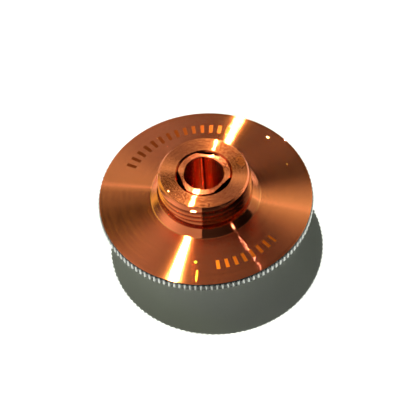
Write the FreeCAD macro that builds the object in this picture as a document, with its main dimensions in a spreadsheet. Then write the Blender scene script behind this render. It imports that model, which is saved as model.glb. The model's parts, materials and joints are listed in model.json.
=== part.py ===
"""Double-layer laser cutting nozzle: a turned outer body with a pressed-in core.

Frame: +Z is the nozzle's axis, pointing from the tip towards the thread.
The origin is the centre of the tip's flat face. All sizes are in millimetres.
"""
import FreeCAD
import Part
import Sketcher
import os

doc = FreeCAD.newDocument("laser_nozzle")

# Driving sizes, each set once

DRIVING_SIZES = {
    "overall_height": 15.0,
    # threaded stem, M14 x 1, drawn at its crest diameter
    "thread_crest_diameter": 13.8,
    "thread_section_height": 4.15,
    "thread_end_chamfer": 0.5,
    "thread_end_chamfer_height": 0.75,
    # relief under it, with a sloping end
    "thread_relief_width": 0.35,
    "thread_relief_depth": 0.65,
    "thread_relief_run_out": 0.35,
    # conical shoulder under the relief, which centres the nozzle in its holder
    "shoulder_step": 0.2,
    "shoulder_width": 1.05,
    "shoulder_height": 0.95,
    # flange: its copper back face is a very flat cone that rises to the shoulder,
    # and ends at the rim in a thin plain lip with a chamfer under it
    "flange_diameter": 32.0,
    "back_face_rise": 0.65,
    "rim_thickness": 1.5,
    "rim_chamfer": 0.2,
    "rim_lip_height": 0.12,
    # straight knurl round the rim
    "knurl_pitch": 0.8,
    "knurl_depth": 0.35,
    "knurl_crest_flat": 0.12,
    # nose cone and tip
    "cone_base_diameter": 22.5,
    "tip_diameter": 9.5,
    "tip_edge_chamfer": 0.3,
    "exit_diameter": 5.0,
    "exit_land_length": 1.3,
    # gas way between the body and the core
    "chamber_cone_height": 5.2,
    "seat_edge_chamfer": 0.2,
    "gas_slot_depth": 0.58,
    "gas_slot_count": 3,
    # pressed-in core
    "core_bore_diameter": 5.9,
    "core_wall": 0.47,
    "core_fit_clearance": 0.01,
    "core_recess": 0.05,
    "core_edge_chamfer": 0.15,
    "core_bore_chamfer": 0.08,
    "core_land_standoff": 0.5,
    "core_tip_standoff": 0.7,
    "core_tip_wall": 0.38,
    "core_tip_land": 0.6,
}

# Sizes that follow from the driving ones

DERIVED_SIZES = {
    # heights on the outer body, from the thread down
    "seat_chamfer_base": "=overall_height - seat_edge_chamfer",
    "thread_chamfer_base": "=overall_height - thread_end_chamfer_height",
    "shoulder_top": "=overall_height - thread_section_height",
    "relief_top": "=shoulder_top + thread_relief_width",
    "thread_base": "=relief_top + thread_relief_run_out",
    "shoulder_base": "=shoulder_top - shoulder_height",
    "rim_back": "=shoulder_base - back_face_rise",
    "lip_base": "=rim_back - rim_lip_height",
    "rim_back_corner": "=lip_base - rim_chamfer",
    "rim_front": "=rim_back - rim_thickness",
    "chamber_cone_top": "=exit_land_length + chamber_cone_height",
    # radii of the outer body
    "thread_radius": "=thread_crest_diameter / 2",
    "thread_end_radius": "=thread_radius - thread_end_chamfer",
    "relief_radius": "=thread_radius - thread_relief_depth",
    "shoulder_top_radius": "=thread_radius + shoulder_step",
    "shoulder_base_radius": "=shoulder_top_radius + shoulder_width",
    "rim_radius": "=flange_diameter / 2",
    "lip_radius": "=rim_radius - rim_chamfer",
    "cone_base_radius": "=cone_base_diameter / 2",
    "tip_radius": "=tip_diameter / 2",
    "tip_flat_radius": "=tip_radius - tip_edge_chamfer",
    "exit_radius": "=exit_diameter / 2",
    "seat_radius": "=core_bore_diameter / 2 + core_wall + gas_slot_depth",
    "seat_mouth_radius": "=seat_radius + seat_edge_chamfer",
    # one knurl groove is a triangle whose base lies outside the rim
    "knurl_teeth": "=round(pi * flange_diameter / knurl_pitch)",
    "knurl_root_radius": "=rim_radius - knurl_depth",
    "knurl_base_radius": "=rim_radius + knurl_depth",
    "knurl_base_width": "=2 * (knurl_pitch - knurl_crest_flat)",
    # heights on the core
    "core_top": "=overall_height - core_recess",
    "core_land_chamfer_base": "=core_top - core_edge_chamfer",
    "core_bore_chamfer_base": "=core_top - core_bore_chamfer",
    "core_land_base": "=chamber_cone_top + core_land_standoff",
    "core_tip": "=exit_land_length + core_tip_standoff",
    "core_tip_land_top": "=core_tip + core_tip_land",
    # radii of the core
    "core_bore_radius": "=core_bore_diameter / 2",
    "core_bore_mouth_radius": "=core_bore_radius + core_bore_chamfer",
    "core_neck_radius": "=core_bore_radius + core_wall",
    "core_land_radius": "=seat_radius - core_fit_clearance",
    "core_land_top_radius": "=core_land_radius - core_edge_chamfer",
    "chamber_slope": "=(seat_radius - exit_radius) / chamber_cone_height",
    "core_tip_radius": "=exit_radius + chamber_slope * core_tip_standoff - gas_slot_depth",
    "core_exit_radius": "=core_tip_radius - core_tip_wall",
    # one gas slot is a box cut from the core's land
    "gas_slot_reach": "=2 * core_land_radius",
    "gas_slot_width": "=4 * core_land_radius",
    "gas_slot_length": "=core_top - core_land_base",
}


def fill_sheet():
    """Write the sizes into a spreadsheet, one alias each."""
    table = doc.addObject("Spreadsheet::Sheet", "sizes")
    rows = {**DRIVING_SIZES, **DERIVED_SIZES}
    for row, (alias, value) in enumerate(rows.items(), start=1):
        table.set(f"A{row}", alias)
        table.set(f"B{row}", str(value))
        table.setAlias(f"B{row}", alias)
    doc.recompute()
    return table


sizes = fill_sheet()


def bind(item, target, alias):
    """Tie a property or a sketch constraint to a named size."""
    item.setExpression(target, f"<<{sizes.Label}>>.{alias}")


def attached_sketch(body, name, role):
    """An empty sketch on one of the body's own origin planes."""
    sketch = body.newObject("Sketcher::SketchObject", name)
    plane = next(item for item in body.Origin.OriginFeatures if item.Role == role)
    sketch.AttachmentSupport = [(plane, "")]
    sketch.MapMode = "FlatFace"
    return sketch


def draw_loop(sketch, points):
    """Join points by straight sides into one closed loop."""
    for index, start in enumerate(points):
        end = points[(index + 1) % len(points)]
        sketch.addGeometry(Part.LineSegment(start, end), False)
    for index in range(len(points)):
        following = (index + 1) % len(points)
        sketch.addConstraint(Sketcher.Constraint("Coincident", index, 2, following, 1))


def hold(sketch, kind, line, alias):
    """Set a distance from the sketch's origin to a line's start by a named size."""
    distance = Sketcher.Constraint(kind, -1, 1, line, 1, sizes.get(alias))
    bind(sketch, f"Constraints[{sketch.addConstraint(distance)}]", alias)


def lathe_profile(body, name, corners):
    """Half the turned section: each corner is a named radius and height, None for zero."""
    sketch = attached_sketch(body, name, "XZ_Plane")
    draw_loop(sketch, [FreeCAD.Vector(sizes.get(radius), sizes.get(height) if height else 0, 0)
                       for radius, height in corners])
    for line, (radius, height) in enumerate(corners):
        hold(sketch, "DistanceX", line, radius)
        if height:
            hold(sketch, "DistanceY", line, height)
        else:
            sketch.addConstraint(Sketcher.Constraint("PointOnObject", line, 1, -1))
    return sketch


def turned(body, name, sketch):
    """Turn a half section once round the sketch's upright axis."""
    feature = body.newObject("PartDesign::Revolution", name)
    feature.Profile = sketch
    feature.ReferenceAxis = (sketch, ["V_Axis"])
    feature.Angle = 360
    doc.recompute()


def pocket_down(body, name, sketch, height, length):
    """Cut a sketch drawn on the XY plane, from a named height down by a named length."""
    bind(sketch, "AttachmentOffset.Base.z", height)
    feature = body.newObject("PartDesign::Pocket", name)
    feature.Profile = sketch
    bind(feature, "Length", length)
    before = body.Shape.Volume
    body.Tip = feature
    doc.recompute()
    if feature.Shape.Volume >= before:
        raise RuntimeError(f"{name} cuts nothing")
    return feature


def repeat_round(body, name, feature, count):
    """Repeat a cut evenly round the axis, as many times as the named count says."""
    axis = next(item for item in body.Origin.OriginFeatures if item.Role == "Z_Axis")
    pattern = body.newObject("PartDesign::PolarPattern", name)
    pattern.Originals = [feature]
    pattern.Axis = (axis, [""])
    pattern.Angle = 360
    bind(pattern, "Occurrences", count)
    body.Tip = pattern
    doc.recompute()


# Outer body: one piece of copper, turned, knurled on its rim

def make_nozzle_body():
    body = doc.addObject("PartDesign::Body", "nozzle_body")
    body.Label = "nozzle_body"
    section = lathe_profile(body, "body_section", [
        ("exit_radius", None),
        ("tip_flat_radius", None),
        ("tip_radius", "tip_edge_chamfer"),
        ("cone_base_radius", "rim_front"),
        ("rim_radius", "rim_front"),
        ("rim_radius", "rim_back_corner"),
        ("lip_radius", "lip_base"),
        ("lip_radius", "rim_back"),
        ("shoulder_base_radius", "shoulder_base"),
        ("shoulder_top_radius", "shoulder_top"),
        ("relief_radius", "shoulder_top"),
        ("relief_radius", "relief_top"),
        ("thread_radius", "thread_base"),
        ("thread_radius", "thread_chamfer_base"),
        ("thread_end_radius", "overall_height"),
        ("seat_mouth_radius", "overall_height"),
        ("seat_radius", "seat_chamfer_base"),
        ("seat_radius", "chamber_cone_top"),
        ("exit_radius", "exit_land_length"),
    ])
    turned(body, "turned_blank", section)

    groove = attached_sketch(body, "knurl_groove", "XY_Plane")
    root_radius, base_radius = sizes.get("knurl_root_radius"), sizes.get("knurl_base_radius")
    half_width = sizes.get("knurl_base_width") / 2
    draw_loop(groove, [FreeCAD.Vector(root_radius, 0, 0),
                       FreeCAD.Vector(base_radius, half_width, 0),
                       FreeCAD.Vector(base_radius, -half_width, 0)])
    hold(groove, "DistanceX", 0, "knurl_root_radius")
    hold(groove, "DistanceX", 1, "knurl_base_radius")
    groove.addConstraint(Sketcher.Constraint("PointOnObject", 0, 1, -1))
    groove.addConstraint(Sketcher.Constraint("Symmetric", 1, 1, 2, 1, -1))
    width = groove.addConstraint(Sketcher.Constraint("Distance", 1, 2 * half_width))
    bind(groove, f"Constraints[{width}]", "knurl_base_width")
    cut = pocket_down(body, "knurl_cut", groove, "lip_base", "rim_thickness")
    repeat_round(body, "knurl", cut, "knurl_teeth")
    return body


# Core: a copper sleeve that guides the beam; flats on its land leave the gas slots

def make_inner_core():
    body = doc.addObject("PartDesign::Body", "inner_core")
    body.Label = "inner_core"
    section = lathe_profile(body, "core_section", [
        ("core_exit_radius", "core_tip"),
        ("core_tip_radius", "core_tip"),
        ("core_neck_radius", "chamber_cone_top"),
        ("core_neck_radius", "core_land_base"),
        ("core_land_radius", "core_land_base"),
        ("core_land_radius", "core_land_chamfer_base"),
        ("core_land_top_radius", "core_top"),
        ("core_bore_mouth_radius", "core_top"),
        ("core_bore_radius", "core_bore_chamfer_base"),
        ("core_bore_radius", "chamber_cone_top"),
        ("core_exit_radius", "core_tip_land_top"),
    ])
    turned(body, "turned_core", section)

    slot = attached_sketch(body, "gas_slot_outline", "XY_Plane")
    flat, reach = sizes.get("core_neck_radius"), sizes.get("gas_slot_reach")
    half_width = sizes.get("gas_slot_width") / 2
    draw_loop(slot, [FreeCAD.Vector(-half_width, flat, 0), FreeCAD.Vector(half_width, flat, 0),
                     FreeCAD.Vector(half_width, reach, 0), FreeCAD.Vector(-half_width, reach, 0)])
    hold(slot, "DistanceY", 0, "core_neck_radius")
    hold(slot, "DistanceY", 2, "gas_slot_reach")
    slot.addConstraint(Sketcher.Constraint("Symmetric", 0, 1, 1, 1, -2))
    slot.addConstraint(Sketcher.Constraint("Symmetric", 2, 1, 3, 1, -2))
    slot.addConstraint(Sketcher.Constraint("Vertical", 1))
    width = slot.addConstraint(Sketcher.Constraint("Distance", 0, 2 * half_width))
    bind(slot, f"Constraints[{width}]", "gas_slot_width")
    cut = pocket_down(body, "gas_slot", slot, "core_top", "gas_slot_length")
    repeat_round(body, "gas_slots", cut, "gas_slot_count")
    return body


def check_document(bodies):
    """Stop if any object failed or any finished solid is null, invalid or split."""
    for item in doc.Objects:
        if "Invalid" in item.State or "Error" in item.State:
            raise RuntimeError(f"{item.Name} failed: {item.State}")
    for body in bodies:
        shape = body.Shape
        if shape.isNull() or not shape.isValid() or len(shape.Solids) != 1:
            raise RuntimeError(f"{body.Label} is not one valid solid")
        print(f"{body.Label}: {shape.Volume:.2f} mm3, box {shape.BoundBox}")


bodies = [make_nozzle_body(), make_inner_core()]
doc.recompute()
check_document(bodies)

os.makedirs("parts", exist_ok=True)
for body in bodies:
    body.Shape.exportStep(f"parts/{body.Label}.step")
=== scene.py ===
# %% [markdown]
# # A laser cutting nozzle in turned copper
# The nozzle is two pieces: a body that was turned from a copper bar, knurled on its rim and plated on its
# rim and front, and a sleeve that is pressed into the body's bore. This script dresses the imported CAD
# model. Both pieces are made again here as finer skins of the same form, because mirror-bright metal shows
# every facet, and because the fine thread is only a plain cylinder in the CAD model.

# %% Load the frame
import json
import math

import bmesh
import bpy
import numpy as np
from mathutils import Matrix, Vector


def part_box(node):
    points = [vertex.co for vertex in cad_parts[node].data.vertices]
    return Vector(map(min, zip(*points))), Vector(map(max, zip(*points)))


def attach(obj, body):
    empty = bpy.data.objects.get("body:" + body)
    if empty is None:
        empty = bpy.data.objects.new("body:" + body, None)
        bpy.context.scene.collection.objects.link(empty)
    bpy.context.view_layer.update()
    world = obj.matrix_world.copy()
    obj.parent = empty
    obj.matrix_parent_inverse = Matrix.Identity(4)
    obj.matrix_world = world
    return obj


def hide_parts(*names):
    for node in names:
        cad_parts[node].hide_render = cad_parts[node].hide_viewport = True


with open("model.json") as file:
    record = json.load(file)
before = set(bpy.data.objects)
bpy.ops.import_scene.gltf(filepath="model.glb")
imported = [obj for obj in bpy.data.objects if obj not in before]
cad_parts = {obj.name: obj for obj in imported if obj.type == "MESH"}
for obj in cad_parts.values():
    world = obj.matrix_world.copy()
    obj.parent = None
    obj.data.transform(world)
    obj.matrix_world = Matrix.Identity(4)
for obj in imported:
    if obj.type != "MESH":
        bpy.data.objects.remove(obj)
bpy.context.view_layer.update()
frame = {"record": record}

# %% [markdown]
# ## Sizes
# Lengths are in millimetres here, as a turner would write them, and become metres when a mesh is made.
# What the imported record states, such as the thread's radius or the bore's, is read from its mounts.
# The rest repeats the few sizes of the CAD model that no mount gives.

# %% Sizes
MM = 0.001
mounts = {mount["name"]: mount for mount in frame["record"]["mounts"]}


def mount_radius(name):
    """The stated radius of a round mount, in millimetres."""
    return mounts[name]["dims"]["r_mm"]


body_low, body_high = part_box("nozzle_body")
core_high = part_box("inner_core")[1]
TOP = body_high.z / MM
RIM_RADIUS = -body_low.y / MM
THREAD_RADIUS = mount_radius("thread")
BORE_RADIUS = mount_radius("core_bore")
CORE_EXIT_RADIUS = mount_radius("core_exit")
EXIT_RADIUS = mount_radius("exit_orifice")

EXIT_LAND = 1.3
TIP_RADIUS, TIP_CHAMFER = 4.75, 0.3
CONE_BASE_RADIUS, CONE_ROOT_RADIUS = 11.25, 0.4
RIM_FRONT, RIM_BACK, RIM_CHAMFER, LIP_HEIGHT = 7.75, 9.25, 0.2, 0.12
KNURL_TEETH, KNURL_DEPTH, KNURL_CREST_SHARE = 126, 0.35, 0.15
SHOULDER_BASE_RADIUS, SHOULDER_BASE, SHOULDER_TOP_RADIUS, SHOULDER_TOP = 8.15, 9.9, 7.1, 10.85
RELIEF_RADIUS, RELIEF_TOP, RELIEF_RUN_OUT = 6.25, 11.2, 0.35
THREAD_PITCH, THREAD_DEPTH = 1.0, 0.61
THREAD_CHAMFER, THREAD_CHAMFER_HEIGHT = 0.5, 0.75
SEAT_RADIUS, SEAT_CHAMFER, CHAMBER_TOP = 4.0, 0.2, 6.5
print(f"rim radius {RIM_RADIUS:.2f}, height {TOP:.2f}, thread radius {THREAD_RADIUS:.2f}")

# %% [markdown]
# ## The camera
# The picture is taken from above the rim, 30 cm away, with a long lens and a slight roll. A camera can be
# aimed with a Track To constraint, but a matrix made of its three axes also holds the roll.
# It is built first, because the lights are placed by how they mirror towards it. The film setting is plain,
# and reflections are followed far and kept sharp, since the light turns round many times in the bore.

# %% Camera
IMAGE_SIZE = 416
FOCAL_LENGTH_PX = 2024.3
SENSOR_WIDTH = 36.0
CAMERA_DISTANCE = 300.0
CAMERA_AZIMUTH = math.radians(14.6)
CAMERA_ELEVATION = math.radians(53.47)
CAMERA_ROLL = math.radians(4.32)
RIM_CENTRE_PX = Vector((205.59, 196.27))
GLOSSY_BOUNCES = 10

right_level = Vector((math.cos(CAMERA_AZIMUTH), math.sin(CAMERA_AZIMUTH), 0))
away_level = Vector((-math.sin(CAMERA_AZIMUTH), math.cos(CAMERA_AZIMUTH), 0))
towards_camera = Vector((0, 0, math.sin(CAMERA_ELEVATION))) - away_level * math.cos(CAMERA_ELEVATION)
up_level = right_level.cross(-towards_camera)


def aimed_axes():
    """The camera's right, up and back axes, with the roll, turned so that the picture is framed."""
    right = right_level * math.cos(CAMERA_ROLL) - up_level * math.sin(CAMERA_ROLL)
    up = up_level * math.cos(CAMERA_ROLL) + right_level * math.sin(CAMERA_ROLL)
    offset = (Vector((IMAGE_SIZE / 2, IMAGE_SIZE / 2)) - RIM_CENTRE_PX) / FOCAL_LENGTH_PX
    back = (towards_camera - right * offset.x + up * offset.y).normalized()
    right = up.cross(back).normalized()
    return right, back.cross(right), back


def add_camera():
    """The photograph's camera as a Blender camera."""
    lens = bpy.data.cameras.new("photo_camera")
    lens.sensor_width = SENSOR_WIDTH
    lens.lens = FOCAL_LENGTH_PX * SENSOR_WIDTH / IMAGE_SIZE
    lens.clip_start = 0.01
    camera = bpy.data.objects.new("photo_camera", lens)
    place = Vector((0, 0, RIM_BACK)) + towards_camera * CAMERA_DISTANCE
    axes = Matrix(aimed_axes()).transposed().to_4x4()
    camera.matrix_world = Matrix.Translation(place * MM) @ axes
    bpy.context.scene.collection.objects.link(camera)
    bpy.context.scene.camera = camera
    print(f"camera lens {lens.lens:.1f} mm, {CAMERA_DISTANCE:.0f} mm away")


add_camera()
bpy.context.scene.view_settings.view_transform = "Standard"
bpy.context.scene.cycles.glossy_bounces = GLOSSY_BOUNCES
bpy.context.scene.cycles.blur_glossy = 0.0

# %% [markdown]
# ## Shader arithmetic
# A material is a graph of nodes, and a long one is easier to read as arithmetic. `Wire` wraps one output
# socket: adding, multiplying or comparing wires adds Math nodes, or Vector Math nodes where a side is a
# vector. Every other node comes from `Shader.node`, which sets the node's own settings before its inputs.


# %% Wires and shaders
def arithmetic(operation, reflected=False):
    """A method that joins a wire and something else by one Math or Vector Math node."""
    def method(self, other):
        sides = (other, self) if reflected else (self, other)
        return self.shader.work_out(operation, *sides)
    return method


class Wire:
    """One output socket of a shader's node, on which + - * / work."""

    def __init__(self, shader, socket):
        self.shader, self.socket = shader, socket

    __add__ = __radd__ = arithmetic("ADD")
    __mul__ = __rmul__ = arithmetic("MULTIPLY")
    __sub__, __rsub__ = arithmetic("SUBTRACT"), arithmetic("SUBTRACT", reflected=True)
    __truediv__, __rtruediv__ = arithmetic("DIVIDE"), arithmetic("DIVIDE", reflected=True)

    def pick(self, name):
        """Another output of the same node."""
        return Wire(self.shader, self.socket.node.outputs[name])

    def function(self, operation, *others):
        """Any other one-node function of this wire, such as FRACT or POWER."""
        return self.shader.work_out(operation, self, *others)

    def clamped(self, low=0.0, high=1.0):
        """This value kept between two numbers."""
        return self.function("MAXIMUM", low).function("MINIMUM", high)


class Shader:
    """A node tree, emptied, to which nodes are added."""

    def __init__(self, tree):
        self.tree = tree
        tree.nodes.clear()

    def feed(self, socket, value):
        """Link a wire to an input, or set the input to a plain value."""
        if isinstance(value, Wire):
            self.tree.links.new(value.socket, socket)
        elif socket.type == "RGBA":
            socket.default_value = (*value, 1.0)
        elif socket.type == "VECTOR" and isinstance(value, (int, float)):
            socket.default_value = (value, value, value)
        else:
            socket.default_value = value

    def node(self, kind, settings=None, inputs=None, output=0):
        """Add one node: its settings first, then its inputs by name or number."""
        made = self.tree.nodes.new(kind)
        for name, value in (settings or {}).items():
            setattr(made, name, value)
        for name, value in (inputs or {}).items():
            self.feed(made.inputs[name], value)
        return Wire(self, made.outputs[output]) if made.outputs else made

    def work_out(self, operation, *operands):
        """One Math node, or a Vector Math node where an operand is a vector."""
        vectors = [o for o in operands if isinstance(o, Wire) and o.socket.type == "VECTOR"]
        kind = "ShaderNodeVectorMath" if vectors else "ShaderNodeMath"
        output = 1 if operation in ("LENGTH", "DOT_PRODUCT", "DISTANCE") else 0
        return self.node(kind, {"operation": operation}, dict(enumerate(operands)), output)

    def mix(self, factor, first, second):
        """A colour between two colours."""
        return self.node("ShaderNodeMix", {"data_type": "RGBA"}, {0: factor, 6: first, 7: second}, output=2)


def between(value, low, high, softness):
    """1 where a value lies between two limits, with soft edges."""
    return ((value - low) / softness).clamped() * ((high - value) / softness).clamped()


# %% [markdown]
# ## The studio
# Turned metal has no colour of its own that the eye reads: it shows the lights round it, each drawn out
# into a bright or dark wedge that runs through the centre, at right angles to the tool's grooves. So the
# room is built from broad wedge-shaped panels of light round the point that a flat face mirrors into the
# camera, with a dark corner on the camera's right. Lit planes could do the same, but smooth lobes summed
# in the world's shader need no meshes, and each is placed by the direction in which it shows.

# %% Room light
MIRROR_POINT = math.cos(CAMERA_ELEVATION)
WARM_LIGHT = (1.0, 1.22, 0.9)
PLAIN_LIGHT = (1.0, 1.0, 1.0)
GOLDEN_LIGHT = (1.0, 1.25, 0.4)
# each panel: the direction of its middle round the mirror point, half its width, and its strength
WARM_PANELS = [(-11, 9, 0.80), (157, 13, 0.42)]
PLAIN_PANELS = [(0, 6, 0.15), (128, 34, 0.36), (-140, 15, 0.45), (-96, 28, 0.27), (-27, 9, 0.13)]
# a golden panel fills a ring round the mirror point, where the plain ones are shaded
GOLDEN_PANEL, GOLDEN_REACH, GOLDEN_SOFTNESS, GOLDEN_SHADE = (-158, 22, 1.25), (0.62, 0.93), 0.08, 0.7
# the low light on the left starts this far out and this far down, each with its soft edge
LOW_LEFT_REACH, LOW_LEFT_DROP, LOW_LEFT_GAIN = (0.95, 0.1), (0.35, 0.2), 0.9
BRIGHT_LINES = [(167, 1.2, 0.45), (-14, 1.5, 0.35)]
ROOM_BASE, SMALLEST_REACH = 0.03, 0.001
WARM_PANEL_END, WARM_PANEL_SOFTNESS = 172.0, 1.5
STREAKINESS, STREAK_DETAIL = 0.45, 3.0
DARK_CORNER_EDGE, DARK_CORNER_SHADE = -0.17, 0.93


def panel(across, up, reach, middle, half_width, strength):
    """The light of one wedge-shaped panel round the mirror point."""
    turn = math.radians(middle)
    along = (across * math.cos(turn) + up * math.sin(turn)) / reach
    sharpness = math.log(0.5) / math.log(math.cos(math.radians(half_width)))
    return along.function("MAXIMUM", 0.0).function("POWER", sharpness) * strength


def make_room():
    """Light from all round, and plain white where the camera itself looks past the floor."""
    world = bpy.data.worlds.new("studio")
    world.use_nodes = True
    bpy.context.scene.world = world
    shader = Shader(world.node_tree)
    direction = shader.node("ShaderNodeTexCoord").pick("Generated")
    across = direction.function("DOT_PRODUCT", tuple(right_level))
    away = direction.function("DOT_PRODUCT", tuple(away_level))
    up = away - MIRROR_POINT
    reach = (across * across + up * up).function("SQRT").function("MAXIMUM", SMALLEST_REACH)
    turn = up.function("ARCTAN2", across) * (180 / math.pi)
    uneven = shader.node("ShaderNodeTexNoise", {"noise_dimensions": "1D"},
                         {"W": turn, "Detail": STREAK_DETAIL})
    streaks = 1.0 + (uneven - 0.5) * STREAKINESS
    warm = sum(panel(across, up, reach, *sizes) for sizes in WARM_PANELS)
    warm = warm * ((WARM_PANEL_END - turn) / WARM_PANEL_SOFTNESS).clamped()
    plain = sum(panel(across, up, reach, *sizes) for sizes in PLAIN_PANELS + BRIGHT_LINES) + ROOM_BASE
    corner = across.function("GREATER_THAN", DARK_CORNER_EDGE) * away.function("LESS_THAN", 0.0)
    low_left = ((reach - LOW_LEFT_REACH[0]) / LOW_LEFT_REACH[1]).clamped()
    low_left = low_left * ((0.0 - up - LOW_LEFT_DROP[0]) / LOW_LEFT_DROP[1]).clamped()
    open_side = (1.0 - corner * DARK_CORNER_SHADE) * streaks * (1.0 + low_left * LOW_LEFT_GAIN)
    ring = between(reach, *GOLDEN_REACH, GOLDEN_SOFTNESS)
    golden = panel(across, up, reach, *GOLDEN_PANEL) * ring
    plain = plain * (1.0 - ring * GOLDEN_SHADE)
    room = shader.node("ShaderNodeBackground", inputs={"Color": PLAIN_LIGHT, "Strength": plain * open_side})
    for colour, light in ((WARM_LIGHT, warm), (GOLDEN_LIGHT, golden)):
        more = shader.node("ShaderNodeBackground", inputs={"Color": colour, "Strength": light * open_side})
        room = shader.node("ShaderNodeAddShader", inputs={0: room, 1: more})
    backdrop = shader.node("ShaderNodeBackground", inputs={"Color": (1, 1, 1), "Strength": 1.0})
    seen = shader.node("ShaderNodeLightPath").pick("Is Camera Ray")
    surface = shader.node("ShaderNodeMixShader", inputs={0: seen, 1: room, 2: backdrop})
    shader.node("ShaderNodeOutputWorld", inputs={"Surface": surface})
    print(f"room with {len(WARM_PANELS) + len(PLAIN_PANELS)} panels and {len(BRIGHT_LINES)} bright lines")


make_room()

# %% [markdown]
# ## The lamps
# One small hard key makes the white streaks on the metal and the shadow on the floor, and two faint lamps
# make the thin lines. Small area lamps would do, but a sun's angle sets the width of its streak directly.
# White paper and mirror-bright metal can't share one exposure, so light linking gives the floor, the metal
# and the core each their own lamp, as a photographer would do with flags.

# %% Key lights
KEY_PLACE = (-0.13, 0.273)
floor_group, metal_group, core_group = [bpy.data.collections.new(name)
                                        for name in ("floor_lit", "metal_lit", "core_lit")]
# each lamp: where it stands seen from above, strength, colour, width in degrees, and what it lights
LAMPS = [("key_on_floor", KEY_PLACE, 10.5, (1, 1, 1), 1.0, floor_group),
         ("key_on_metal", KEY_PLACE, 4.4, (1, 1.1, 0.62), 2.1, metal_group),
         ("low_lamp", (0.613, -0.511), 0.024, (1.0, 0.85, 1.05), 0.2, metal_group),
         ("faint_lamp", (0.17, 0.289), 0.014, (1.0, 0.8, 1.1), 0.45, metal_group),
         ("bore_lamp", (-0.195, 0.112), 26.0, (1, 0.95, 0.9), 7.0, core_group)]


def towards_lamp(across, away):
    """The direction of a lamp, from its place on the sky seen from above, with the camera at the bottom."""
    return right_level * across + away_level * away + Vector((0, 0, math.sqrt(1 - across ** 2 - away ** 2)))


def add_sun(name, place, strength, colour, width, lit):
    """A distant lamp that lights one group of objects."""
    lamp = bpy.data.lights.new(name, "SUN")
    lamp.energy, lamp.color, lamp.angle = strength, colour, math.radians(width)
    sun = bpy.data.objects.new(name, lamp)
    sun.light_linking.receiver_collection = lit
    source = towards_lamp(*place)
    sun.rotation_euler = source.to_track_quat("Z", "Y").to_euler()
    bpy.context.scene.collection.objects.link(sun)
    print(f"{name}: {math.degrees(math.asin(source.z)):.0f} degrees high")


for lamp_sizes in LAMPS:
    add_sun(*lamp_sizes)

# %% [markdown]
# ## The floor
# The floor is a plain sheet that the key burns out to white. Only in the nozzle's shadow does its own
# greenish grey show. It is large enough to pass for endless from every side.

# %% Floor
FLOOR_HALF = 3.0
FLOOR_COLOUR = (0.355, 0.362, 0.335)


def make_floor():
    """A wide plain sheet at the height that the tip rests on."""
    mesh = bpy.data.meshes.new("floor")
    corners = [(x * FLOOR_HALF, y * FLOOR_HALF, 0) for x, y in ((-1, -1), (1, -1), (1, 1), (-1, 1))]
    mesh.from_pydata(corners, [], [(0, 1, 2, 3)])
    floor = bpy.data.objects.new("floor", mesh)
    bpy.context.scene.collection.objects.link(floor)
    paper = bpy.data.materials.new("floor_paper")
    paper.use_nodes = True
    shader = Shader(paper.node_tree)
    sheet = shader.node("ShaderNodeBsdfPrincipled", inputs={"Base Color": FLOOR_COLOUR, "Roughness": 0.9,
                                                            "Specular IOR Level": 0.0})
    shader.node("ShaderNodeOutputMaterial", inputs={"Surface": sheet})
    mesh.materials.append(paper)
    floor_group.objects.link(floor)


make_floor()

# %% [markdown]
# ## Turned skins
# A turned piece is a section that was swept round an axis. Blender's Screw modifier or a spin could do
# that, but here some rings aren't round: the knurl has teeth and the thread climbs. So the skin is woven
# from rings of points, one point to each column round the axis. The columns follow the knurl, with
# six to a tooth, so that its crests and roots are real edges.

# %% Rings and skins
TOOTH_COLUMNS = np.array([0.0, 0.05, 0.425, 0.5, 0.575, 0.95])
TURNS = ((np.arange(KNURL_TEETH)[:, None] + TOOTH_COLUMNS) / KNURL_TEETH).ravel()
GUARD = 0.015
MERGE_DISTANCE = 0.0005
CREASE_ANGLE = math.radians(28)


def straight(start, end, steps=1):
    """Points from start towards end, which the next stretch begins with.

    A guard point near either end keeps the smooth shading of a corner out of the long flat faces."""
    start, end = np.array(start, float), np.array(end, float)
    guard = GUARD / np.linalg.norm(end - start)
    shares = sorted({*(step / steps for step in range(steps)), guard, 1 - guard})
    return [tuple(start + (end - start) * share) for share in shares]


def bend(centre, radius, start, end, steps):
    """Points on an arc of the section, from one angle to another, in degrees."""
    angles = np.radians(np.linspace(start, end, steps + 1))
    return [(centre[0] + radius * math.cos(a), centre[1] + radius * math.sin(a)) for a in angles]


def weave(name, rings, turns, seam_rows, finishes):
    """A closed skin through rings of (radius, height) columns; each ring has the finish above it."""
    count, columns = len(rings), len(turns)
    radius = np.array([np.broadcast_to(ring[0], columns) for ring in rings])
    height = np.array([np.broadcast_to(ring[1], columns) for ring in rings])
    angle = 2 * math.pi * turns
    points = np.stack([radius * np.cos(angle), radius * np.sin(angle), height], axis=2).reshape(-1, 3) * MM
    index = np.arange(count * columns).reshape(count, columns)
    beside = np.roll(index, -1, axis=1)
    beside[:, -1] = index[seam_rows, 0]
    corners = (index, beside, np.roll(beside, -1, axis=0), np.roll(index, -1, axis=0))
    faces = np.stack(corners, axis=2).reshape(-1, 4)
    mesh = bpy.data.meshes.new(name)
    mesh.from_pydata(points.tolist(), [], faces.tolist())
    mesh.polygons.foreach_set("material_index", np.repeat(finishes, columns))
    clean(mesh)
    piece = bpy.data.objects.new(name, mesh)
    bpy.context.scene.collection.objects.link(piece)
    metal_group.objects.link(piece)
    print(f"{name}: {count} rings of {columns} points, {len(mesh.polygons)} faces")
    return piece


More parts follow.
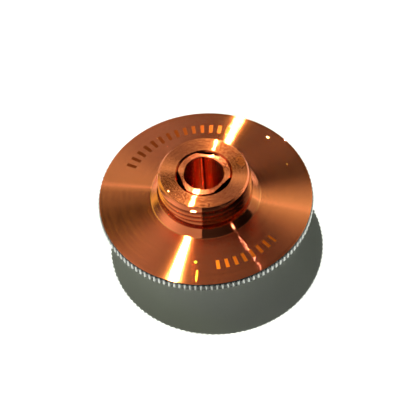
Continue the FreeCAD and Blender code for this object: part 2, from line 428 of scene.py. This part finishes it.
def clean(mesh):
    """Merge what lies on one point, turn the faces outwards and shade all but the real edges smooth."""
    work = bmesh.new()
    work.from_mesh(mesh)
    bmesh.ops.remove_doubles(work, verts=work.verts, dist=MERGE_DISTANCE * MM)
    bmesh.ops.dissolve_degenerate(work, edges=work.edges, dist=MERGE_DISTANCE * MM)
    bmesh.ops.recalc_face_normals(work, faces=work.faces)
    work.to_mesh(mesh)
    work.free()
    mesh.polygons.foreach_set("use_smooth", [True] * len(mesh.polygons))
    mesh.set_sharp_from_angle(angle=CREASE_ANGLE)


# %% [markdown]
# ## The body
# The section starts inside the exit, runs out over the tip, up the cone to the flange, round the rim,
# over the back face and the shoulder's cone to the thread, and back down inside. Each stretch has a finish:
# plated on the front and rim, bare copper elsewhere.

# %% Knurl
COPPER, CHROME, BORE = 0, 1, 2
GROOVE_REACH = (1 - KNURL_CREST_SHARE) / 2
ROOT_ROUNDING = 0.06
EDGE_ROUNDING, EDGE_GUARD = 0.02, 0.03
KNURL_MIDDLE = (8.2, 8.7)


def knurled(radius):
    """A ring's radius where the V-grooves cut it."""
    into_groove = np.abs((TURNS * KNURL_TEETH + 0.5) % 1.0 - 0.5)
    rise = np.minimum(into_groove / GROOVE_REACH, 1.0)
    groove = RIM_RADIUS - KNURL_DEPTH * (1 - np.maximum(rise, ROOT_ROUNDING))
    return np.minimum(radius, groove)


def rim_rings():
    """From the flange's front edge over the knurl to the plain lip."""
    groove_end = RIM_BACK - LIP_HEIGHT
    lip = RIM_RADIUS - RIM_CHAMFER
    front, back = RIM_FRONT + RIM_CHAMFER, groove_end - RIM_CHAMFER
    middle = [(RIM_RADIUS, height) for height in KNURL_MIDDLE]
    outline = [(lip, RIM_FRONT), (RIM_RADIUS - EDGE_ROUNDING, front - EDGE_ROUNDING),
               (RIM_RADIUS, front + EDGE_GUARD), *straight(*middle, 3), (RIM_RADIUS, back - EDGE_GUARD),
               (RIM_RADIUS - EDGE_ROUNDING, back + EDGE_ROUNDING), (lip, groove_end)]
    rings = [(knurled(radius), height) for radius, height in outline]
    return rings + [(lip, groove_end)]


print(f"knurl: {KNURL_TEETH} teeth, {2 * math.pi * RIM_RADIUS / KNURL_TEETH:.2f} mm apart")

# %% [markdown]
# The thread is one groove that climbs 1 mm each turn. Level rings would cut it at a slant and leave
# steps, so these rings climb with it: where the last column meets the first, each ring joins the ring
# one pitch above. Below the relief and above the end chamfer the climbing rings run into level ones.

# %% Thread
THREAD_STEPS = np.array([0.0, 0.07, 0.16, 0.30, 0.46, 0.54, 0.70, 0.84, 0.93])
THREAD_ROOT_SHARE, THREAD_CREST_SHARE = 0.14, 0.08
THREAD_PHASE = RELIEF_TOP + 0.046
LEAD_TURNS = 2


def thread_radius(height):
    """The stem's radius at a height above the thread's start: a narrow crest, two flanks and a root."""
    share = np.abs((height / THREAD_PITCH) % 1.0 - 0.5) * 2
    flank = 1 - THREAD_CREST_SHARE - THREAD_ROOT_SHARE
    fall = np.clip((share - THREAD_CREST_SHARE) / flank, 0, 1)
    return THREAD_RADIUS - THREAD_DEPTH * fall


def thread_ring(start):
    """One climbing ring, limited by the relief below and by the end chamfer above."""
    height = np.clip(start + TURNS * THREAD_PITCH, RELIEF_TOP, TOP)
    phase = height - TURNS * THREAD_PITCH - THREAD_PHASE
    run_out = RELIEF_RADIUS + (height - RELIEF_TOP) * (THREAD_RADIUS - RELIEF_RADIUS) / RELIEF_RUN_OUT
    chamfer = THREAD_RADIUS - THREAD_CHAMFER + (TOP - height) * THREAD_CHAMFER / THREAD_CHAMFER_HEIGHT
    return np.minimum(np.minimum(run_out, chamfer), thread_radius(phase)), height


def thread_rings():
    """Climbing rings from the relief to the top."""
    pitches = math.ceil((TOP - RELIEF_TOP) / THREAD_PITCH) + LEAD_TURNS
    starts = (np.arange(pitches)[:, None] - LEAD_TURNS + THREAD_STEPS).ravel() * THREAD_PITCH + THREAD_PHASE
    return [thread_ring(start) for start in starts] + [thread_ring(TOP)]


# %% [markdown]
# Knurl and thread are now lists of rings, and the rest of the section is straight lines and two hollows.
# A modifier could round the edges too, but points laid one by one put the curve only where light catches it.

# %% Body
EDGE_BREAK = 0.03
SHOULDER_ROOT = 0.14
EXIT_BREAK, EXIT_GUARD = 0.02, 0.1
FRONT_FACE_START, FRONT_FACE_GUARD, TOP_FACE_EDGE = 12.5, 0.05, 6.38


def back_face_height(radius):
    """The height of the flange's very flat back cone."""
    slope = (SHOULDER_BASE - RIM_BACK) / (RIM_RADIUS - RIM_CHAMFER - SHOULDER_BASE_RADIUS)
    return RIM_BACK + (RIM_RADIUS - RIM_CHAMFER - radius) * slope


def shoulder_root(edge):
    """The small hollow where the back face turns up into the shoulder's cone."""
    along = (SHOULDER_BASE_RADIUS - SHOULDER_TOP_RADIUS, SHOULDER_TOP - SHOULDER_BASE)
    reach = (edge - SHOULDER_BASE_RADIUS) / math.hypot(*along)
    end = (SHOULDER_BASE_RADIUS - along[0] * reach, SHOULDER_BASE + along[1] * reach)
    start, corner = (edge, back_face_height(edge)), (SHOULDER_BASE_RADIUS, SHOULDER_BASE)
    shares = [step / 6 for step in range(7)]
    return [tuple((1 - t) ** 2 * a + 2 * t * (1 - t) * b + t * t * c for a, b, c in zip(start, corner, end))
            for t in shares]


def make_body():
    """The body's skin, from the exit round the outside and back down the inside."""
    rings, finishes = [], []

    def lay(stretch, finish):
        rings.extend(stretch)
        finishes.extend([finish] * len(stretch))

    lay(straight((EXIT_RADIUS, EXIT_LAND), (EXIT_RADIUS, EXIT_BREAK), 2), BORE)
    lay([(EXIT_RADIUS, EXIT_BREAK), (EXIT_RADIUS + EXIT_BREAK, 0)], CHROME)
    lay(straight((EXIT_RADIUS + EXIT_GUARD, 0), (TIP_RADIUS - TIP_CHAMFER, 0), 2), CHROME)
    lay(straight((TIP_RADIUS - TIP_CHAMFER, 0), (TIP_RADIUS, TIP_CHAMFER), 1), CHROME)
    cone_slope = (RIM_FRONT - TIP_CHAMFER) / (CONE_BASE_RADIUS - TIP_RADIUS)
    tilt = math.atan(cone_slope)
    run_out = CONE_ROOT_RADIUS * math.tan(tilt / 2)
    root_start = (CONE_BASE_RADIUS - run_out * math.cos(tilt), RIM_FRONT - run_out * math.sin(tilt))
    lay(straight((TIP_RADIUS, TIP_CHAMFER), root_start, 3), CHROME)
    root_centre = (CONE_BASE_RADIUS + run_out, RIM_FRONT - CONE_ROOT_RADIUS)
    lay(bend(root_centre, CONE_ROOT_RADIUS, 90 + math.degrees(tilt), 90, 5), CHROME)
    lip = RIM_RADIUS - RIM_CHAMFER
    lay(straight((FRONT_FACE_START, RIM_FRONT), (lip - FRONT_FACE_GUARD, RIM_FRONT), 2), CHROME)
    lay(rim_rings(), CHROME)
    lay([(lip, RIM_BACK - EDGE_BREAK)], COPPER)
    root_edge = SHOULDER_BASE_RADIUS + SHOULDER_ROOT
    lay(straight((lip - EDGE_BREAK, back_face_height(lip - EDGE_BREAK)),
                 (root_edge, back_face_height(root_edge)), 3), COPPER)
    lay(shoulder_root(root_edge), COPPER)
    lay(straight(rings[-1], (SHOULDER_TOP_RADIUS + EDGE_BREAK, SHOULDER_TOP - EDGE_BREAK), 4)[1:], COPPER)
    lay([(SHOULDER_TOP_RADIUS + EDGE_BREAK, SHOULDER_TOP - EDGE_BREAK),
         (SHOULDER_TOP_RADIUS - EDGE_BREAK, SHOULDER_TOP), (RELIEF_RADIUS, SHOULDER_TOP)], COPPER)
    first_climbing = len(rings)
    lay(thread_rings(), COPPER)
    last_climbing = len(rings) - 1
    lay(straight((TOP_FACE_EDGE, TOP), (SEAT_RADIUS + SEAT_CHAMFER, TOP), 2), COPPER)
    lay([(SEAT_RADIUS + SEAT_CHAMFER, TOP)], BORE)
    lay(straight((SEAT_RADIUS, TOP - SEAT_CHAMFER), (SEAT_RADIUS, CHAMBER_TOP), 4), BORE)
    lay(straight((SEAT_RADIUS, CHAMBER_TOP), (EXIT_RADIUS, EXIT_LAND), 3), BORE)

    seam_rows = np.arange(len(rings))
    climbing = seam_rows[first_climbing:last_climbing + 1]
    seam_rows[first_climbing:last_climbing + 1] = np.minimum(climbing + len(THREAD_STEPS), last_climbing)
    return weave("turned_body", rings, TURNS, seam_rows, finishes)


body = make_body()

# %% [markdown]
# ## The pressed-in core
# The core is turned too, and then three flats are milled on its land, which leave the gas slots open.
# A flat is a straight cut, so along it the radius grows with the angle from the flat's middle. Extra
# columns stand where each flat ends, so that its corners are crisp.

# %% Core
LAND_RADIUS, FLAT_DISTANCE, LAND_BASE = 3.99, 3.42, 7.0
LAND_CHAMFER, BORE_CHAMFER = 0.15, 0.08
CORE_TIP, CORE_TIP_RADIUS, CORE_TIP_LAND = 2.0, 2.122, 0.6
CORE_TOP = core_high.z / MM
FLAT_TURNS = np.array([90, 210, 330]) / 360
EVEN_COLUMNS = 240
LAND_GUARD, BORE_GUARD = 8.0, 13.0
TOP_FINISH, OUTSIDE_FINISH, BORE_FINISH = 0, 1, 2


def core_turns():
    """Even columns round the core, with extra ones at the ends of the flats."""
    ends = [math.acos(FLAT_DISTANCE / radius) / (2 * math.pi)
            for radius in (LAND_RADIUS, LAND_RADIUS - LAND_CHAMFER)]
    extra = [(turn + side * end) % 1.0 for turn in FLAT_TURNS for end in ends for side in (-1, 1)]
    return np.unique(np.round(np.concatenate([np.arange(EVEN_COLUMNS) / EVEN_COLUMNS, extra]), 6))


def milled(radius, turns):
    """A ring's radius where the flats cut it."""
    from_flat = np.abs((turns[:, None] - FLAT_TURNS + 0.5) % 1.0 - 0.5).min(axis=1) * 2 * math.pi
    return np.minimum(radius, FLAT_DISTANCE / np.cos(from_flat))


def make_core():
    """The core's skin, from its exit up the outside and down the bore."""
    turns = core_turns()
    outside = [(CORE_EXIT_RADIUS, CORE_TIP), (CORE_TIP_RADIUS, CORE_TIP),
               *straight((CORE_TIP_RADIUS, CORE_TIP), (FLAT_DISTANCE, CHAMBER_TOP), 3)[1:],
               (FLAT_DISTANCE, CHAMBER_TOP), (FLAT_DISTANCE, LAND_BASE)]
    land_top = CORE_TOP - LAND_CHAMFER
    land = [(LAND_RADIUS, LAND_BASE), *straight((LAND_RADIUS, LAND_GUARD), (LAND_RADIUS, land_top), 3),
            (LAND_RADIUS, land_top), (LAND_RADIUS - LAND_CHAMFER, CORE_TOP)]
    bore = [(BORE_RADIUS + BORE_CHAMFER, CORE_TOP), (BORE_RADIUS, CORE_TOP - BORE_CHAMFER),
            *straight((BORE_RADIUS, BORE_GUARD), (BORE_RADIUS, CHAMBER_TOP), 3), (BORE_RADIUS, CHAMBER_TOP),
            (CORE_EXIT_RADIUS, CORE_TIP + CORE_TIP_LAND)]
    rings = outside + [(milled(radius, turns), height) for radius, height in land] + bore
    smooth_rings, bored_rings = len(outside) + len(land) - 2, len(bore) - 1
    top_rings = len(rings) - smooth_rings - bored_rings
    finishes = ([OUTSIDE_FINISH] * smooth_rings + [TOP_FINISH] * top_rings + [BORE_FINISH] * bored_rings)
    return weave("pressed_core", rings, turns, np.arange(len(rings)), finishes)


core = make_core()
core_group.objects.link(core)

# %% [markdown]
# ## Turned copper
# A turning tool leaves a spiral of fine grooves, a few hundredths of a millimetre apart. They are far
# finer than a pixel, so what shows is only how they spread the light: a lot along the section, hardly at
# all round the axis. An anisotropic gloss alone can't be that uneven, so the normal itself is also tilted
# along the section, by a different chance amount in each thousandth of a millimetre.

# %% Turned surface
COPPER_COLOUR = (0.90, 0.235, 0.088)
GROOVE_SPACING = 0.001
FACE_SLOPE, STEM_SLOPE, REAMED_SLOPE = 0.2, 0.05, 0.2
STEEPEST_GROOVE = 6.0
ABOVE_ONE = 1.0001
ALONG_SECTION = 0.25


class Turned:
    """Where a shading point lies on a turned piece, in millimetres, and which way it faces."""

    def __init__(self, shader):
        geometry = shader.node("ShaderNodeNewGeometry")
        self.shader = shader
        self.position = geometry.pick("Position") * (1 / MM)
        self.normal = geometry.pick("Normal")
        self.flat = self.position * (1.0, 1.0, 0.0)
        self.radius = self.flat.function("LENGTH")
        self.height = self.position.function("DOT_PRODUCT", (0, 0, 1))
        self.round_axis = shader.node("ShaderNodeVectorMath", {"operation": "CROSS_PRODUCT"},
                                      {0: (0, 0, 1), 1: self.flat}).function("NORMALIZE")

    def turn(self):
        """The direction round the axis, in degrees from -180 to 180."""
        across = self.position.function("DOT_PRODUCT", (1, 0, 0))
        along = self.position.function("DOT_PRODUCT", (0, 1, 0))
        return along.function("ARCTAN2", across) * (180 / math.pi)

    def chance(self, size):
        """A chance value from -1 to 1 for each ring of the surface of this size."""
        ring = ((self.radius + self.height) / size).function("FLOOR")
        noise = self.shader.node("ShaderNodeTexWhiteNoise", {"noise_dimensions": "1D"}, {"W": ring})
        return noise * 2.0 - 1.0

    def grooved(self, slope):
        """The normal, tilted along the section by the tool's grooves."""
        chance = self.chance(GROOVE_SPACING)
        steep = chance / (ABOVE_ONE - chance * chance).function("SQRT")
        tilt = steep.clamped(-STEEPEST_GROOVE, STEEPEST_GROOVE) * slope
        section = self.round_axis.function("CROSS_PRODUCT", self.normal)
        return self.normal + section * tilt

    def patch(self, turn, radius, height, half_sizes, softness=0.3):
        """1 inside a small spot at a place given round the axis, 0 outside, with a soft edge."""
        angle = math.radians(turn)
        round_axis, outward = (-math.sin(angle), math.cos(angle), 0), (math.cos(angle), math.sin(angle), 0)
        centre = (radius * math.cos(angle), radius * math.sin(angle), height)
        offset = self.position - centre
        shares = [offset.function("DOT_PRODUCT", axis) / size
                  for axis, size in zip((round_axis, outward, (0, 0, 1)), half_sizes)]
        reach = self.shader.node("ShaderNodeCombineXYZ", inputs=dict(enumerate(shares))).function("LENGTH")
        return ((1.0 - reach) / softness).clamped()


# %% [markdown]
# ## The marks
# Bare copper shows what it has been through: a row of short engraved bars on either side of the stem, cut
# rougher than the face, a few small dents that catch the key, and some tarnish. Two spots on the flange, a
# yellow-green one and an orange streak, are painted reflections, and the far row of bars is painted darker
# as painted shade and the near row lighter as painted light. They are masks over one shader, so no surface
# has to be cut for them. A dent is a place where the normal points half way between the key and the camera,
# which is what makes it flash.

# %% Marks
# each row of bars: its first and last direction round the axis, inner and outer radius, and its colour,
# darker on the far row as painted shade and lighter on the near row as painted light
BAR_ROWS = [((84, 168, 11.7, 13.3), (0.42, 0.07, 0.012)), ((-72, -28, 11.9, 13.4), (1.0, 0.21, 0.02))]
BAR_SPACING, BAR_SHARE = 6.0, 0.45
BAR_END_SOFTNESS, BAR_SIDE_SOFTNESS = 0.2, 0.05
# a lighter copper painted along the shoulder's root as a painted highlight
ROOT_HIGHLIGHT_COLOUR = (1.0, 0.31, 0.12)
FLASH_NORMAL = tuple((towards_lamp(*KEY_PLACE) + towards_camera).normalized())
# each dent, and each tarnish spot or painted reflection with its colour: direction round the axis, radius,
# height, and half sizes round the axis, outward and up
DENTS = [(-91.9, 6.8, 14.45, (0.5, 0.9, 0.2)), (59.8, 14.25, 9.38, (0.32, 0.055, 0.4)),
         (51.3, 15.72, 9.26, (0.10, 0.14, 0.3)), (-137.5, 6.05, 15.0, (0.12, 0.09, 0.2))]
# the first two are painted reflections, a yellow-green spot and an orange streak on the flange, and the last
# two are tarnish
STAINS_AND_REFLECTIONS = [((-85.7, 12.1, 9.56, (0.22, 0.22, 0.4)), (0.75, 0.85, 0.02)),
          ((-84.0, 14.3, 9.38, (0.2, 1.3, 0.4)), (1.0, 0.30, 0.03)),
          ((35.2, 13.35, 9.45, (0.2, 0.12, 0.4)), (1.0, 0.28, 0.03)),
          ((31.3, 5.75, 15.0, (1.1, 0.75, 0.3)), (0.5, 0.11, 0.03))]


def bar_mask(surface, first, last, inner, outer):
    """1 on one row's bars, 0 between them."""
    turn = surface.turn()
    on_bar = between((turn / BAR_SPACING).function("FRACT"), 0.0, BAR_SHARE, BAR_SIDE_SOFTNESS)
    row = between(turn, first, last, BAR_END_SOFTNESS)
    row = row * between(surface.radius, inner, outer, BAR_SIDE_SOFTNESS)
    return row * on_bar * surface.height.function("LESS_THAN", SHOULDER_BASE)


print(f"{len(DENTS)} dents, {len(STAINS_AND_REFLECTIONS)} stains_or_reflections and {len(BAR_ROWS)} rows of bars")

# %% [markdown]
# ## The copper's shader
# One Principled shader makes all the bare copper. Separate materials for face, thread and marks would need
# faces cut along their edges; masks that are worked out from where a point lies need none. The deep parts
# of the thread and its relief are painted darker, as painted shade, because light turns there more than
# once, and a lighter copper along the shoulder's root is a painted highlight.

# %% Copper
FINE_ROUGHNESS, COARSE_ROUGHNESS = 0.08, 0.6
DENT_ROUGHNESS, STAIN_OR_REFLECTION_ROUGHNESS, BAR_ROUGHNESS = 0.12, 0.35, 0.42
FACE_COARSE_SHARE, TOP_COARSE_SHARE = 0.0, 0.22
COARSE_SPACING = GROOVE_SPACING * 0.7
# painted shade for the thread's hollows and the relief
HOLLOW_SHADE_COLOUR = (0.4, 0.08, 0.025)
THREAD_SHADE = (6.78, 0.22)
LEVEL_FACE, LEVEL_SOFTNESS = 0.93, 0.05
SECTION_SOFTNESS, SECTION_MARGIN = 0.05, 0.05
RELIEF_MARGIN, TOP_MARGIN = 0.02, 0.1
ROOT_HIGHLIGHT_REACH, ROOT_HIGHLIGHT_SOFTNESS = 0.08, 0.04
MOTTLE_SCALE, MOTTLE_DETAIL = 3.0, 4.0
# how the mottle is stretched over the top face and over the tarnish and painted reflections: times the
# first, less the second
MOTTLE_ON_TOP, MOTTLE_ON_STAINS_AND_REFLECTIONS = (4.0, 1.0), (3.0, 0.6)


def new_material(name):
    """An empty node material and its shader."""
    material = bpy.data.materials.new(name)
    material.use_nodes = True
    return material, Shader(material.node_tree)


def finish_metal(shader, inputs):
    """End a metal's graph: one Principled shader and the output."""
    metal = shader.node("ShaderNodeBsdfPrincipled", inputs={"Metallic": 1.0, **inputs})
    shader.node("ShaderNodeOutputMaterial", inputs={"Surface": metal})
    print(f"a metal of {len(shader.tree.nodes)} nodes")


def copper_colour_and_painted_light(shader, surface):
    """The copper's colour, with a painted highlight along the shoulder's root and painted shade in the
    thread's hollows.
    """
    inner, outer = SHOULDER_BASE_RADIUS - ROOT_HIGHLIGHT_REACH, SHOULDER_BASE_RADIUS + SHOULDER_ROOT
    root = between(surface.radius, inner, outer, ROOT_HIGHLIGHT_SOFTNESS)
    root = root * surface.height.function("LESS_THAN", SHOULDER_TOP)
    # painted highlight along the shoulder's root
    colour = shader.mix(root, COPPER_COLOUR, ROOT_HIGHLIGHT_COLOUR)
    # painted shade in the relief and in the thread's hollows
    in_relief = between(surface.height, SHOULDER_TOP - RELIEF_MARGIN, RELIEF_TOP + RELIEF_RUN_OUT,
                        SECTION_SOFTNESS)
    in_thread = between(surface.height, RELIEF_TOP, TOP - THREAD_CHAMFER_HEIGHT, SECTION_SOFTNESS)
    in_thread = in_thread * ((THREAD_SHADE[0] - surface.radius) / THREAD_SHADE[1]).clamped()
    inside = surface.radius.function("LESS_THAN", SHOULDER_TOP_RADIUS - SECTION_MARGIN)
    return shader.mix((in_relief + in_thread).clamped() * inside, colour, HOLLOW_SHADE_COLOUR)


def bare_roughness(surface, on_face, mottle):
    """Fine grooves, with some coarse ones among them on the stem's top face."""
    on_top = surface.height.function("GREATER_THAN", TOP - TOP_MARGIN)
    share = FACE_COARSE_SHARE + on_top * (TOP_COARSE_SHARE - FACE_COARSE_SHARE)
    limit = share * (mottle * MOTTLE_ON_TOP[0] - MOTTLE_ON_TOP[1]) * 2.0 - 1.0
    coarse = surface.chance(COARSE_SPACING).function("LESS_THAN", limit)
    return FINE_ROUGHNESS + coarse * on_face * (COARSE_ROUGHNESS - FINE_ROUGHNESS)


def make_turned_copper():
    """Bright bare copper with its radial sheen and its marks."""
    material, shader = new_material("turned_copper")
    surface = Turned(shader)
    upward = surface.normal.function("DOT_PRODUCT", (0, 0, 1))
    on_face = ((upward - LEVEL_FACE) / LEVEL_SOFTNESS).clamped()
    mottle = shader.node("ShaderNodeTexNoise", inputs={"Vector": surface.position, "Scale": MOTTLE_SCALE,
                                                       "Detail": MOTTLE_DETAIL})
    normal = surface.grooved(STEM_SLOPE + on_face * (FACE_SLOPE - STEM_SLOPE))
    dents = sum(surface.patch(*place) for place in DENTS).clamped()
    normal = normal + (FLASH_NORMAL - normal) * dents
    colour = copper_colour_and_painted_light(shader, surface)
    roughness = bare_roughness(surface, on_face, mottle) + dents * DENT_ROUGHNESS
    # the first two entries are painted reflections, the others tarnish
    for place, stain_or_reflection_colour in STAINS_AND_REFLECTIONS:
        stain_or_reflection = surface.patch(*place) * (mottle * MOTTLE_ON_STAINS_AND_REFLECTIONS[0] - MOTTLE_ON_STAINS_AND_REFLECTIONS[1]).clamped()
        colour = shader.mix(stain_or_reflection, colour, stain_or_reflection_colour)
        roughness = roughness + stain_or_reflection * STAIN_OR_REFLECTION_ROUGHNESS
    # one engraving: the far row's colour is painted shade, the near row's painted light
    for row, bar_colour_and_shade in BAR_ROWS:
        engraved = bar_mask(surface, *row)
        colour = shader.mix(engraved, colour, bar_colour_and_shade)
        roughness = roughness + engraved * BAR_ROUGHNESS
    finish_metal(shader, {"Base Color": colour, "Roughness": roughness, "Anisotropic": 1.0,
                          "Anisotropic Rotation": ALONG_SECTION, "Normal": normal.function("NORMALIZE")})
    return material


# %% [markdown]
# ## The bores and the plating
# Inside, the metal was bored and reamed, and light reaches it only after several turns, so small changes of
# colour show strongly; the core's bore has bands of painted shade, with painted reflections between them.
# The plating is a thin chrome coat, satin on the knurl's crests, rougher in its grooves, which are painted
# darker as painted shade, with a painted shadow under the lip. A second shader layered over the copper
# could show it as a coat, but chrome is opaque, so it has a material of its own.

# %% Bores and chrome
BORED_COLOUR, BORED_ROUGHNESS = (0.55, 0.10, 0.03), 0.16
REAMED_COLOUR, REAMED_SHADE_COLOUR, REAMED_ROUGHNESS = (1.0, 0.31, 0.09), (0.12, 0.006, 0.003), 0.12
# each band of painted shade down the bore, which leaves stripes of painted reflection between: first and
# last direction round the axis, its soft edge and its depth
BORE_SHADE_BANDS = [(12, 80, 2.5, 0.42), (99.5, 107.5, 1.2, 0.85), (111.5, 115, 1, 0.8), (131, 181, 2.5, 0.4)]
# the knurl's grooves are painted darker as painted shade, and black under the lip as a painted shadow
CHROME_COLOUR, GROOVE_SHADE_COLOUR, NOTCH_SHADOW_COLOUR = (0.54, 0.55, 0.535), (0.15, 0.155, 0.15), (0.01, 0.01, 0.01)
CHROME_ROUGHNESS, GROOVE_ROUGHNESS = 0.12, 0.2
NOTCH_SHADOW_DEPTH, NOTCH_SHADOW_SOFTNESS = 0.6, 0.12
# how far under the crests the grooves' roughness and painted shade start, how fast they grow, and the margin
# below the roots
CREST_HEIGHT, GROOVE_SOFTNESS, KNURL_MARGIN = 0.05, 0.15, 0.02


def make_bore_copper():
    """The copper inside the gas way, left smooth."""
    material, shader = new_material("bored_copper")
    finish_metal(shader, {"Base Color": BORED_COLOUR, "Roughness": BORED_ROUGHNESS})
    return material


def make_reamed_bore():
    """The core's bore, with bands of painted shade round it that leave lighter stripes of painted reflection
    between them.
    """
    material, shader = new_material("reamed_copper")
    surface = Turned(shader)
    turn = surface.turn()
    # painted shade bands, with painted reflection stripes between them
    shade = sum(between(turn, first, last, soft) * depth for first, last, soft, depth in BORE_SHADE_BANDS)
    colour = shader.mix(shade.clamped(), REAMED_COLOUR, REAMED_SHADE_COLOUR)
    finish_metal(shader, {"Base Color": colour, "Roughness": REAMED_ROUGHNESS, "Anisotropic": 0.9,
                          "Anisotropic Rotation": ALONG_SECTION,
                          "Normal": surface.grooved(REAMED_SLOPE).function("NORMALIZE")})
    return material


def make_chrome():
    """Satin chrome plating, rougher in the knurl's grooves, which are painted darker as painted shade and
    black at their tops under the lip as a painted shadow.
    """
    material, shader = new_material("satin_chrome")
    surface = Turned(shader)
    in_knurl = surface.radius.function("GREATER_THAN", RIM_RADIUS - KNURL_DEPTH - KNURL_MARGIN)
    groove = ((RIM_RADIUS - CREST_HEIGHT - surface.radius) / GROOVE_SOFTNESS).clamped() * in_knurl
    # painted shadow under the lip at the top of each groove
    notch_shadow = ((surface.height - (RIM_BACK - LIP_HEIGHT - NOTCH_SHADOW_DEPTH)) / NOTCH_SHADOW_SOFTNESS).clamped() * groove
    colour = shader.mix(notch_shadow, shader.mix(groove, CHROME_COLOUR, GROOVE_SHADE_COLOUR), NOTCH_SHADOW_COLOUR)
    finish_metal(shader, {"Base Color": colour, "Roughness": CHROME_ROUGHNESS + groove * GROOVE_ROUGHNESS})
    return material


turned_copper, bored_copper, reamed_copper = make_turned_copper(), make_bore_copper(), make_reamed_bore()
for finish in (turned_copper, make_chrome(), bored_copper):
    body.data.materials.append(finish)
for finish in (turned_copper, bored_copper, reamed_copper):
    core.data.materials.append(finish)

# %% [markdown]
# ## Hand over
# Each skin stands for its CAD node, which is hidden, and rides on the one body.

# %% Hand over
for piece, node in ((body, "nozzle_body"), (core, "inner_core")):
    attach(piece, "root")
    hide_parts(node)
